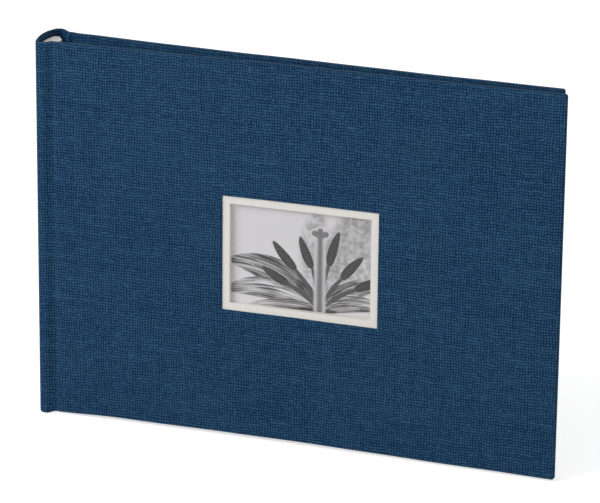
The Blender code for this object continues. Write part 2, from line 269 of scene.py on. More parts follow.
class Shell:
    """Vertices, cloth coordinates and faces of one half of the case."""

    def __init__(self, side):
        self.side = side
        self.end = OUTLINE.at(cover_high.x if side < 0 else back_cover_high.x)
        self.points, self.threads, self.faces = [], [], []

    def add(self, arc, z, depth, thread):
        x, half = OUTLINE.place(arc, depth)
        self.points.append((float(x), float(self.side * half), float(z)))
        self.threads.append((float(thread[0]), float(thread[1])))
        return len(self.points) - 1

    def quad(self, a, b, c, d):
        ring = []
        for vertex in (a, b, c, d):
            if vertex not in ring:
                ring.append(vertex)
        if len(ring) > 2:
            self.faces.append(ring if self.side < 0 else ring[::-1])

    def strip(self, outer, inner, closed=False):
        count = len(outer) if closed else len(outer) - 1
        for k in range(count):
            n = (k + 1) % len(outer)
            self.quad(outer[k], outer[n], inner[n], inner[k])


def corner_map(arc, z, end, side):
    """Rounds the two fore-edge corners of the flat grid."""
    radius = CORNER_RADIUS - EDGE_RADIUS
    centre = end - CORNER_RADIUS
    for low, sign in ((tail_line(arc), 1.0), (head_line(arc, side), -1.0)):
        middle = low + sign * CORNER_RADIUS
        a, b = (arc - centre) / radius, sign * (middle - z) / radius
        if a > 0.0 and b > 0.0:
            a, b = min(a, 1.0), min(b, 1.0)
            arc = centre + radius * a * math.sqrt(1.0 - b * b / 2.0)
            z = middle - sign * radius * b * math.sqrt(1.0 - a * a / 2.0)
            break
    return arc, z


def grid_lines(has_window, end):
    """Arc lengths and heights of a face's grid, with lines round the window."""
    radius = CORNER_RADIUS - EDGE_RADIUS
    corner = end - CORNER_RADIUS
    arcs = [graded(0.0, OUTLINE.shoulder, 26), graded(OUTLINE.shoulder, OUTLINE.land, 32),
            graded(OUTLINE.land, corner, 76), graded(corner, corner + radius, 5)]
    low, high = CORNER_RADIUS, HEIGHT - CORNER_RADIUS
    zs = [graded(EDGE_RADIUS, low, 5), graded(high, HEIGHT - EDGE_RADIUS, 5)]
    if has_window:
        left, right = OUTLINE.at(WINDOW[0]) - WINDOW_RADIUS, OUTLINE.at(WINDOW[1]) + WINDOW_RADIUS
        bottom, top = WINDOW[2] - WINDOW_RADIUS, WINDOW[3] + WINDOW_RADIUS
        arcs[2] = np.concatenate([graded(OUTLINE.land, left, 38), graded(left, right, 24),
                                  graded(right, corner, 36)])
        zs.append(np.concatenate([graded(low, bottom, 22), graded(bottom, top, 18),
                                  graded(top, high, 22)]))
    else:
        zs.append(graded(low, high, 62))
    return joined(*arcs), joined(*zs)


def face_row(arc, z, side):
    """Fits a grid line's height between the tail and head lines at this arc length."""
    radius = radius_along(arc)
    low, high = tail_line(arc) + radius, head_line(arc, side) - radius
    share = (z - EDGE_RADIUS) / (HEIGHT - 2.0 * EDGE_RADIUS)
    near_tail = (z - EDGE_RADIUS) + low
    near_head = high - (HEIGHT - EDGE_RADIUS - z)
    mix = smoothstep(share, 0.02, 0.98)
    return near_tail * (1.0 - mix) + near_head * mix


def nearest(lines, value):
    return int(np.argmin(abs(lines - value)))


def cover_half_mesh(side, has_window):
    """Cloth from the middle of the spine over one cover, turned in all round."""
    shell = Shell(side)
    arcs, zs = grid_lines(has_window, shell.end)
    last_i, last_j = len(arcs) - 1, len(zs) - 1
    grid = {}
    flat = {}
    for i, arc in enumerate(arcs):
        for j, z in enumerate(zs):
            a, h = corner_map(arc, face_row(arc, z, side), shell.end, side)
            flat[i, j] = (a, h)
            grid[i, j] = shell.add(a, h, 0.0, (a, h))
    hole = None
    if has_window:
        left, right = OUTLINE.at(WINDOW[0]), OUTLINE.at(WINDOW[1])
        hole = (nearest(arcs, left - WINDOW_RADIUS), nearest(arcs, right + WINDOW_RADIUS),
                nearest(zs, WINDOW[2] - WINDOW_RADIUS), nearest(zs, WINDOW[3] + WINDOW_RADIUS))
    for i in range(last_i):
        for j in range(last_j):
            if hole and hole[0] <= i < hole[1] and hole[2] <= j < hole[3]:
                continue
            shell.quad(grid[i, j], grid[i + 1, j], grid[i + 1, j + 1], grid[i, j + 1])
    rim = [(i, 0) for i in range(last_i + 1)]
    rim += [(last_i, j) for j in range(1, last_j + 1)]
    rim += [(i, last_j) for i in range(last_i - 1, -1, -1)]
    add_turned_edge(shell, grid, flat, rim)
    if hole:
        add_window_edge(shell, grid, flat, hole)
    return shell


def way_out(shell, key, arc, z, last_column):
    """Unit direction, along the cover, that leads out over the rim at a rim point."""
    centre = shell.end - CORNER_RADIUS
    low, high = tail_line(arc) + CORNER_RADIUS, head_line(arc, shell.side) - CORNER_RADIUS
    if arc > centre + TINY and z < low - TINY:
        return Vector((arc - centre, z - low)).normalized()
    if arc > centre + TINY and z > high + TINY:
        return Vector((arc - centre, z - high)).normalized()
    if key[0] == last_column and low <= z <= high:
        return Vector((1.0, 0.0))
    return Vector((0.0, -1.0 if z < HEIGHT / 2.0 else 1.0))


def near_corner(distance):
    """Share of the corner's squeeze that a turn-in takes at a distance from the corner."""
    reach = 2.0 * TURN_IN_WIDTH
    return np.clip((reach - distance) / (reach - CORNER_RADIUS), 0, 1)


def turned_place(shell, arc, z, out, inset, radius):
    """Place of a rim point once the cloth has gone in from the edge by an inset."""
    small = max(CORNER_RADIUS - inset, CORNER_LEAST)
    slide = inset + small - CORNER_RADIUS
    low, high = tail_line(arc), head_line(arc, shell.side)
    if out.x > 0.01 and abs(out.y) > 0.01:
        a = shell.end - CORNER_RADIUS - slide + out.x * small
        edge = low + inset + small if out.y < 0.0 else high - inset - small
        return a, edge + out.y * small
    if out.x > 0.5:
        h = z + slide * near_corner(z - low) - slide * near_corner(high - z)
        return arc - (inset - radius), h
    return arc - slide * near_corner(shell.end - arc), z - out.y * (inset - radius)


def add_turned_edge(shell, grid, flat, rim):
    """Rings of cloth round the tail, the fore edge and the head, and onto the inside."""
    last_column = rim[len(rim) // 2][0]
    starts = []
    for key in rim:
        arc, z = flat[key]
        radius = float(radius_along(arc))
        profile = edge_profile(radius, float(thickness_along(arc)), TURN_IN_WIDTH)
        starts.append((arc, z, way_out(shell, key, arc, z, last_column), radius, profile))
    rings = [[grid[key] for key in rim]]
    for step in range(len(starts[0][-1])):
        ring = []
        for arc, z, out, radius, profile in starts:
            inset, depth, used = profile[step]
            a, h = turned_place(shell, arc, z, out, inset, radius)
            ring.append(shell.add(a, h, depth, (arc + out.x * used, z + out.y * used)))
        rings.append(ring)
    for outer, inner in zip(rings, rings[1:]):
        shell.strip(inner, outer)


def add_window_edge(shell, grid, flat, hole):
    """Cloth folded through the window and turned in behind the board."""
    i0, i1, j0, j1 = hole
    rim = [(i, j0) for i in range(i0, i1)] + [(i1, j) for j in range(j0, j1)]
    rim += [(i, j1) for i in range(i1, i0, -1)] + [(i0, j) for j in range(j1, j0, -1)]
    mid_i = 0.5 * (flat[i0, j0][0] + flat[i1, j0][0])
    half_i = 0.5 * (flat[i1, j0][0] - flat[i0, j0][0])
    mid_z = 0.5 * (WINDOW[2] + WINDOW[3])
    half_z = 0.5 * (WINDOW[3] - WINDOW[2]) + WINDOW_RADIUS
    profile = edge_profile(WINDOW_RADIUS, COVER_THICK, WINDOW_TURN_IN)
    rings = [[grid[key] for key in rim]]
    for inset, depth, used in profile:
        ring = []
        shift = WINDOW_RADIUS - inset
        for i, j in rim:
            arc, z = flat[i, j]
            a = mid_i + (arc - mid_i) * (half_i - shift) / half_i
            h = mid_z + (z - mid_z) * (half_z - shift) / half_z
            on_side = i in (i0, i1)
            on_end = j in (j0, j1)
            pull_a = -math.copysign(used, arc - mid_i) if on_side and not on_end else 0.0
            pull_z = -math.copysign(used, z - mid_z) if on_end else 0.0
            ring.append(shell.add(a, h, depth, (arc + pull_a, z + pull_z)))
        rings.append(ring)
    for outer, inner in zip(rings, rings[1:]):
        shell.strip(outer, inner, closed=True)


# ---------------------------------------------------------------- meshes
def make_object(name, points, faces, material, smooth_angle=40.0, threads=None):
    mesh = bpy.data.meshes.new(name)
    mesh.from_pydata(points, [], faces)
    mesh.validate()
    mesh.materials.append(material)
    mesh.polygons.foreach_set("use_smooth", [True] * len(mesh.polygons))
    mesh.set_sharp_from_angle(angle=math.radians(smooth_angle))
    if threads is not None:
        layer = mesh.uv_layers.new(name="threads")
        for loop in mesh.loops:
            layer.data[loop.index].uv = threads[loop.vertex_index]
    mesh.update()
    piece = bpy.data.objects.new(name, mesh)
    bpy.context.scene.collection.objects.link(piece)
    return piece


def add_thickness(piece, thickness):
    """Gives a surface its thickness, inwards."""
    solidify = piece.modifiers.new("thickness", "SOLIDIFY")
    solidify.thickness = thickness
    solidify.offset = -1.0
    solidify.use_even_offset = False


def spine_blend(piece):
    """Bakes the piece's transform into its mesh."""
    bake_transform(piece)


def build_cloth(material):
    for side, cover in ((-1, "front_cover"), (1, "back_cover")):
        shell = cover_half_mesh(side, cover == "front_cover")
        piece = make_object(cover + "_and_spine_cloth", shell.points, shell.faces, material,
                            60.0, shell.threads)
        add_thickness(piece, CLOTH)
        spine_blend(piece)
        nodes = [cover + "_cloth"] + (["spine_cloth"] if side < 0 else [])
        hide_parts(*nodes)


def slab(columns, zs, hole=None):
    """Closed thin solid: columns are (x, y of one face, y of the other), rows are zs."""
    points, faces = [], []
    count_z = len(zs)
    for x, near, far in columns:
        for z in zs:
            points.append((x, near, z))
            points.append((x, far, z))

    def index(i, j, f):
        return 2 * (i * count_z + j) + f

    def solid(i, j):
        if not (0 <= i < len(columns) - 1 and 0 <= j < count_z - 1):
            return False
        if hole is None:
            return True
        x = 0.5 * (columns[i][0] + columns[i + 1][0])
        z = 0.5 * (zs[j] + zs[j + 1])
        return not (hole[0] < x < hole[1] and hole[2] < z < hole[3])

    for i in range(len(columns) - 1):
        for j in range(count_z - 1):
            if not solid(i, j):
                continue
            ring = [(i, j), (i + 1, j), (i + 1, j + 1), (i, j + 1)]
            faces.append([index(*corner, 0) for corner in ring])
            faces.append([index(*corner, 1) for corner in (ring[0], ring[3], ring[2], ring[1])])
            beside = [(i, j - 1), (i + 1, j), (i, j + 1), (i - 1, j)]
            for side, neighbour in enumerate(beside):
                if not solid(*neighbour):
                    a, b = ring[side], ring[(side + 1) % 4]
                    faces.append([index(*a, 0), index(*a, 1), index(*b, 1), index(*b, 0)])
    used = sorted({v for face in faces for v in face})
    remap = {v: k for k, v in enumerate(used)}
    return [points[v] for v in used], [[remap[v] for v in face] for face in faces]


SHEETS = [name for name in frame["nodes"]
          if name.startswith(("leaf_", "interleaf_")) or name.endswith("flyleaf")]
SHEET_THICK = {"leaf": 0.20 * MM, "interleaf": 0.04 * MM}
FLYLEAF_THICK = 0.12 * MM
CREASE_THICK = 0.09 * MM         # what is left of a leaf where it is creased
IN_GUARD = 1.4 * MM              # length of a leaf held between the guard strips
CONVERGENCE = 5.5                # how soon the leaves close up beyond their creases
ENDPAPER_THICK = 0.15 * MM
ENDPAPER_GAP = 0.05 * MM         # under the cover's turn-in
ENDPAPER_ON_BLOCK = 5.6 * MM     # length pasted to the block, beside the joint
ENDPAPER_DIP = 0.32 * MM         # slack into the joint
FRONT_GUARD, BACK_GUARD = 1, 13


def joint_named(name):
    return next(joint for joint in frame["joints"] if joint["name"] == name)


def guard_beside(name):
    """Number of the guard strip behind a sheet."""
    if name.endswith("flyleaf"):
        return FRONT_GUARD if name.startswith("front") else BACK_GUARD
    return int(name.split("_")[1]) + 1


def build_sheet(name, material):
    """A leaf that grows out of the block and bends at its crease."""
    low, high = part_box(name)
    thick = SHEET_THICK.get(name.split("_")[0], FLYLEAF_THICK)
    joint = joint_named(name + "_turn")
    crease_x, at_crease = joint["pos_m"][0], joint["pos_m"][1]
    at_fore_edge = high.y - thick / 2.0 if at_crease < 0.0 else low.y + thick / 2.0
    first, last = low.x, high.x
    guard_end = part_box("guard_strip_%02d" % guard_beside(name))[1].x
    inner = guard_end + 0.03 * MM if name.startswith("interleaf") else guard_end - IN_GUARD
    columns = []
    for x in graded(inner, first, 8):
        share = smoothstep(x, guard_end + 0.05 * MM, first)
        half = 0.5 * min(thick, CREASE_THICK) * (1.0 - share) + 0.5 * thick * share
        columns.append((x, at_crease - half, at_crease + half))
    for x in graded(first, last, 44, 1.5)[1:]:
        closing = ((last - x) / (last - first)) ** CONVERGENCE
        y = at_fore_edge + (at_crease - at_fore_edge) * closing
        columns.append((x, y - thick / 2.0, y + thick / 2.0))
    points, faces = slab(columns, list(graded(low.z, high.z, 12)))
    piece = make_object(name + "_sheet", points, faces, material, 40.0)
    crease_x + 0.45 * MM
    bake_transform(piece)
    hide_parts(name)


def build_pastedown(side, material):
    """Pasted-down half of an endpaper, running on across the joint to the block."""
    name = "front" if side < 0 else "back"
    low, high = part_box(name + "_pastedown")
    start = guard_high.x - ENDPAPER_ON_BLOCK
    at_block = abs(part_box("guard_strip_01")[0].y) + 0.20 * MM
    at_board = float(board_half(BOARD_X) - COVER_THICK - ENDPAPER_GAP)
    xs, zs = graded(BOARD_X, high.x, 60), graded(low.z, high.z, 24)
    hole = None
    if side < 0:
        hole = (WINDOW[0] - ENDPAPER_GAP, WINDOW[1] + ENDPAPER_GAP,
                WINDOW[2] - ENDPAPER_GAP, WINDOW[3] + ENDPAPER_GAP)
        xs, zs = joined(xs, np.array(hole[:2])), joined(zs, np.array(hole[2:]))
    outer = []
    for x in graded(start, BOARD_X, 18)[:-1]:
        share = float(smoothstep(x, start, BOARD_X))
        dip = ENDPAPER_DIP * math.sin(math.pi * share) ** 2
        outer.append((float(x), at_block * (1.0 - share) + at_board * share + dip))
    outer += [(float(x), float(board_half(x)) - COVER_THICK - ENDPAPER_GAP) for x in xs]
    columns = []
    for x, half in outer:
        faces_y = (side * half, side * (half - ENDPAPER_THICK))
        columns.append((x, min(faces_y), max(faces_y)))
    points, faces = slab(columns, [float(z) for z in zs], hole)
    piece = make_object(name + "_endpaper", points, faces, material, 40.0)
    spine_blend(piece)
    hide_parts(name + "_pastedown")


# ---------------------------------------------------------------- shader arithmetic
class Field:
    """A value that varies over a surface; arithmetic on it adds shader nodes."""

    tree = None

    def __init__(self, socket):
        self.socket = socket

    def __add__(self, other):
        return calc("ADD", self, other)

    def __sub__(self, other):
        return calc("SUBTRACT", self, other)

    def __rsub__(self, other):
        return calc("SUBTRACT", other, self)

    def __mul__(self, other):
        return calc("MULTIPLY", self, other)

    def __truediv__(self, other):
        return calc("DIVIDE", self, other)

    __radd__ = __add__
    __rmul__ = __mul__


def node(kind, **settings):
    made = Field.tree.nodes.new(kind)
    for key, value in settings.items():
        setattr(made, key, value)
    return made


def plug(socket, value):
    if isinstance(value, Field):
        Field.tree.links.new(value.socket, socket)
    else:
        socket.default_value = value


def calc(operation, *inputs, clamp=False):
    made = node("ShaderNodeMath", operation=operation, use_clamp=clamp)
    for socket, value in zip(made.inputs, inputs):
        plug(socket, value)
    return Field(made.outputs[0])


def ramp(value, start, end):
    """Smooth rise from 0 at start to 1 at end."""
    made = node("ShaderNodeMapRange", interpolation_type="SMOOTHSTEP", clamp=True)
    plug(made.inputs["Value"], value)
    plug(made.inputs["From Min"], start)
    plug(made.inputs["From Max"], end)
    return Field(made.outputs["Result"])


def vector(x, y, z=0.0):
    made = node("ShaderNodeCombineXYZ")
    for socket, value in zip(made.inputs, (x, y, z)):
        plug(socket, value)
    return Field(made.outputs[0])


def split(field):
    made = node("ShaderNodeSeparateXYZ")
    plug(made.inputs[0], field)
    return [Field(socket) for socket in made.outputs]


def noise(place, scale, detail=2.0, rough=0.5, warp=0.0):
    """Noise from 0 to 1, with a mean near one half."""
    made = node("ShaderNodeTexNoise", noise_dimensions="3D")
    plug(made.inputs["Vector"], place)
    plug(made.inputs["Scale"], scale)
    plug(made.inputs["Detail"], detail)
    plug(made.inputs["Roughness"], rough)
    plug(made.inputs["Distortion"], warp)
    return Field(made.outputs[0])


def random_of(value, seed):
    """Random number from 0 to 1 that belongs to a whole number."""
    made = node("ShaderNodeTexWhiteNoise", noise_dimensions="2D")
    plug(made.inputs["Vector"], vector(value, seed))
    return Field(made.outputs["Value"])


def mix(factor, low, high):
    """Between two plain values."""
    if not isinstance(low, Field) and not isinstance(high, Field):
        return factor * (high - low) + low
    return calc("ADD", calc("MULTIPLY", high, factor), calc("MULTIPLY", low, 1.0 - factor))


def mix_colour(factor, low, high):
    made = node("ShaderNodeMix", data_type="RGBA")
    plug(made.inputs[0], factor)
    for socket, value in ((made.inputs[6], low), (made.inputs[7], high)):
        plug(socket, value if isinstance(value, Field) else (*value, 1.0))
    return Field(made.outputs[2])


def grey(value, tint):
    """Colour of one brightness, tinted."""
    made = node("ShaderNodeCombineColor")
    for socket, share in zip(made.inputs, tint):
        plug(socket, value * share)
    return Field(made.outputs[0])


def bump(height, distance, strength):
    made = node("ShaderNodeBump")
    plug(made.inputs["Strength"], strength)
    plug(made.inputs["Distance"], distance)
    plug(made.inputs["Height"], height)
    return Field(made.outputs[0])


def object_place():
    return Field(node("ShaderNodeTexCoord").outputs["Object"])


def begin_material(name):
    material = bpy.data.materials.new(name)
    material.use_nodes = True
    Field.tree = material.node_tree
    return material, material.node_tree.nodes["Principled BSDF"]


def set_shader(shader, **values):
    for key, value in values.items():
        plug(shader.inputs[key.replace("_", " ")], value)


def srgb(*levels):
    """Linear colour from display levels 0 to 255."""
    return tuple(((v / 255.0 + 0.055) / 1.055) ** 2.4 if v > 10 else v / 255.0 / 12.92 for v in levels)


# ---------------------------------------------------------------- materials
# dark end: the cloth's darker threads and the painted shade in the weave's gaps; pale end: its paler
# threads and the tops of the knots
CLOTH_DARK = (1, 31, 69)
CLOTH_PALE = (47, 89, 118)


def weave(across, along, pitch):
    """Height of a plain weave: knots in uneven rows, running together into streaks in places.

    Also returns the number of the thread in each direction.
    """
    # threads wander slowly and jitter from knot to knot
    place = vector(across, along)
    drift_a = noise(place, 110.0, 2.0) - 0.5
    drift_b = noise(vector(along, across, 3.7), 110.0, 2.0) - 0.5
    jitter_a = noise(place, 520.0, 1.0) - 0.5
    jitter_b = noise(vector(along, across, 1.3), 520.0, 1.0) - 0.5
    a = across / pitch + drift_a * 1.6 + jitter_a * 0.9
    b = along / pitch + drift_b * 1.6 + jitter_b * 0.9
    thread_a, thread_b = calc("FLOOR", a), calc("FLOOR", b)
    ridge_a = calc("ABSOLUTE", calc("SINE", a * math.pi))
    ridge_b = calc("ABSOLUTE", calc("SINE", b * math.pi))
    # patches where the knots run together along one direction or the other
    merge = ramp(noise(vector(across * 130.0, along * 320.0, 2.0), 1.0, 2.0), 0.42, 0.70)
    split_up = ramp(noise(vector(across * 320.0, along * 130.0, 7.0), 1.0, 2.0), 0.54, 0.76)
    ridge_a = mix(merge * 0.70, ridge_a, 0.75)
    ridge_b = mix(split_up * 0.55, ridge_b, 0.75)
    # each thread swells and thins along its length, and no two knots are alike
    slub_a = noise(vector(thread_a * 3.17, along * 160.0), 1.0, 2.0)
    slub_b = noise(vector(thread_b * 2.71, across * 160.0, 9.0), 1.0, 2.0)
    knot = random_of(thread_a + thread_b * 57.0, 3.0)
    strength = 0.30 + 0.45 * slub_b + 0.35 * slub_a + 0.5 * knot * knot
    return ridge_a * ridge_b * strength * 1.25, thread_a, thread_b


def cloth_material():
    """Dull book cloth whose knots are paler than the gaps between them: the gaps are darkened with painted
    shade.
    """
    material, shader = begin_material("navy_book_cloth")
    uv = node("ShaderNodeUVMap", uv_map="threads")
    across, along, _ = split(Field(uv.outputs[0]))
    height, thread_a, thread_b = weave(across, along, THREAD_PITCH)
    place = vector(across, along)
    fibres = noise(place, 2600.0, 2.0)
    streak_b = noise(vector(across * 14.0, thread_b * 0.9), 1.0, 1.0)
    streak_a = noise(vector(thread_a * 0.9, along * 14.0, 5.0), 1.0, 1.0)
    cloud = noise(place, 18.0, 3.0)
    # painted shade: the weave's height darkens the gaps between the knots; the streaks, fibres and cloud
    # are the cloth's own uneven tone
    tone = height * 1.15 + (streak_b - 0.5) * 0.35 + (streak_a - 0.5) * 0.25
    tone = tone + (fibres - 0.5) * 0.35 + (cloud - 0.5) * 0.25
    tone = ramp(tone, -0.05, 1.15)
    colour = mix_colour(tone, srgb(*CLOTH_DARK), srgb(*CLOTH_PALE))
    set_shader(shader, Base_Color=colour, Roughness=mix(fibres, 0.78, 0.95),
               Normal=bump(height + fibres * 0.15, 0.25 * MM, 0.8))
    shader.inputs["Specular IOR Level"].default_value = 0.10
    shader.inputs["Sheen Weight"].default_value = 0.18
    shader.inputs["Sheen Roughness"].default_value = 0.5
    shader.inputs["Sheen Tint"].default_value = (*srgb(150, 180, 220), 1.0)
    return material


def board_material():
    """Grey pulp board with dark flecks."""
    material, shader = begin_material("grey_board")
    place = object_place()
    pulp = noise(place, 900.0, 4.0, 0.6)
    flecks = ramp(noise(place, 2400.0, 1.0), 0.62, 0.74)
    colour = mix_colour(pulp, srgb(150, 145, 135), srgb(186, 181, 170))
    colour = mix_colour(flecks * 0.6, colour, srgb(96, 90, 82))
    set_shader(shader, Base_Color=colour, Roughness=0.92, Normal=bump(pulp, 0.08 * MM, 0.5))
    return material


def card_material():
    """Pressed off-white card with a soft tooth."""
    material, shader = begin_material("mat_card")
    place = object_place()
    tooth = noise(place, 1500.0, 3.0, 0.6)
    cloud = noise(place, 60.0, 2.0)
    colour = mix_colour(tooth * 0.6 + cloud * 0.4, srgb(225, 221, 214), srgb(240, 237, 232))
    set_shader(shader, Base_Color=colour, Roughness=mix(tooth, 0.72, 0.88),
               Normal=bump(tooth, 0.05 * MM, 0.6))
    return material


def paper_material(name, low, high, tooth_size=700.0):
    """Uncoated paper with a fine tooth and a cloudy sheet."""
    material, shader = begin_material(name)
    place = object_place()
    tooth = noise(place, tooth_size, 4.0, 0.65)
    fibre = noise(place, 90.0, 3.0, 0.5, 1.2)
    colour = mix_colour(tooth * 0.5 + fibre * 0.5, srgb(*low), srgb(*high))
    set_shader(shader, Base_Color=colour, Roughness=mix(tooth, 0.75, 0.92),
               Normal=bump(tooth, 0.03 * MM, 0.6))
    return material


def glassine_material():
    """Thin polished sheet that lets the leaf behind show through."""
    material, shader = begin_material("glassine")
    place = object_place()
    cloud = noise(place, 45.0, 4.0, 0.6, 0.6)
    crackle = noise(place, 260.0, 2.0, 0.5, 2.0)
    colour = mix_colour(cloud, srgb(226, 224, 214), srgb(242, 241, 235))
    set_shader(shader, Base_Color=colour, Roughness=mix(cloud, 0.28, 0.45),
               Normal=bump(cloud + crackle * 0.5, 0.06 * MM, 0.5))
    shader.inputs["Alpha"].default_value = 0.62
    return material


def gauze_material():
    """Open cotton gauze soaked in glue."""
    material, shader = begin_material("cotton_mull")
    _, y, z = split(object_place())
    per_thread = math.pi / (0.9 * MM)
    threads = calc("ABSOLUTE", calc("SINE", y * per_thread))
    picks = calc("ABSOLUTE", calc("SINE", z * per_thread))
    cover = calc("MAXIMUM", ramp(threads, 0.5, 0.95), ramp(picks, 0.5, 0.95))
    colour = mix_colour(cover, srgb(168, 158, 136), srgb(222, 214, 194))
    set_shader(shader, Base_Color=colour, Roughness=0.95, Normal=bump(cover, 0.1 * MM, 0.8))
    return material


# ---------------------------------------------------------------- print behind the mat
LINE = ("x", "y", "x0", "y0", "x1", "y1")
FLOWER_BASE = (0.63, 0.03)       # shares of the sight opening
STAMENS = 6
STAMEN_SPREAD = 56.0             # degrees either side of the pistil
PISTIL_TOP = 33.0                # mm above the flower's base
LOBE_LEANS = (-62.0, 62.0, 0.0)  # degrees


def line_frame(x, y, x0, y0, x1, y1):
    """Place along (held to 0..1) and across a line, and how far past its ends."""
    dx, dy = x1 - x0, y1 - y0
    length = calc("SQRT", dx * dx + dy * dy)
    px, py = x - x0, y - y0
    along = (px * dx + py * dy) / (length * length)
    across = (py * dx - px * dy) / length
    held = calc("MINIMUM", calc("MAXIMUM", along, 0.0), 1.0)
    return held, across, (along - held) * length


def stroke_shape(x, y, x0, y0, x1, y1, first, last, swell, bend, soft):
    """Tapering stroke, swollen in its middle and bowed sideways."""
    held, across, past = line_frame(x, y, x0, y0, x1, y1)
    middle = held * (1.0 - held) * 4.0
    offset = across - middle * bend
    radius = first + (last - first) * held + middle * swell
    inside = radius - calc("SQRT", offset * offset + past * past)
    return ramp(inside, 0.0 - soft, soft), offset / radius, held


def pod_shape(x, y, x0, y0, x1, y1, width, fullness, bend, soft):
    """Pod, fuller towards its second end."""
    held, across, past = line_frame(x, y, x0, y0, x1, y1)
    swell = calc("SQRT", calc("SINE", calc("POWER", held, fullness) * math.pi) + 0.0001)
    offset = across - held * (1.0 - held) * 4.0 * bend
    inside = swell * width - calc("ABSOLUTE", offset) - calc("ABSOLUTE", past) * 2.0
    return ramp(inside, 0.0 - soft, soft), offset / width, held


def shape_group(shape, *labels):
    """Node group that holds one of the shapes above."""
    group = bpy.data.node_groups.new(shape.__name__, "ShaderNodeTree")
    for label in labels:
        group.interface.new_socket(label, in_out="INPUT", socket_type="NodeSocketFloat")
    for label in ("coverage", "side", "along"):
        group.interface.new_socket(label, in_out="OUTPUT", socket_type="NodeSocketFloat")
    outer, Field.tree = Field.tree, group
    source, sink = node("NodeGroupInput"), node("NodeGroupOutput")
    results = shape(*[Field(socket) for socket in list(source.outputs)[:len(labels)]])
    for socket, value in zip(sink.inputs, results):
        plug(socket, value)
    Field.tree = outer
    return group


def tone_of(level):
    """Linear grey from a display level 0 to 255."""
    return srgb(level)[0]


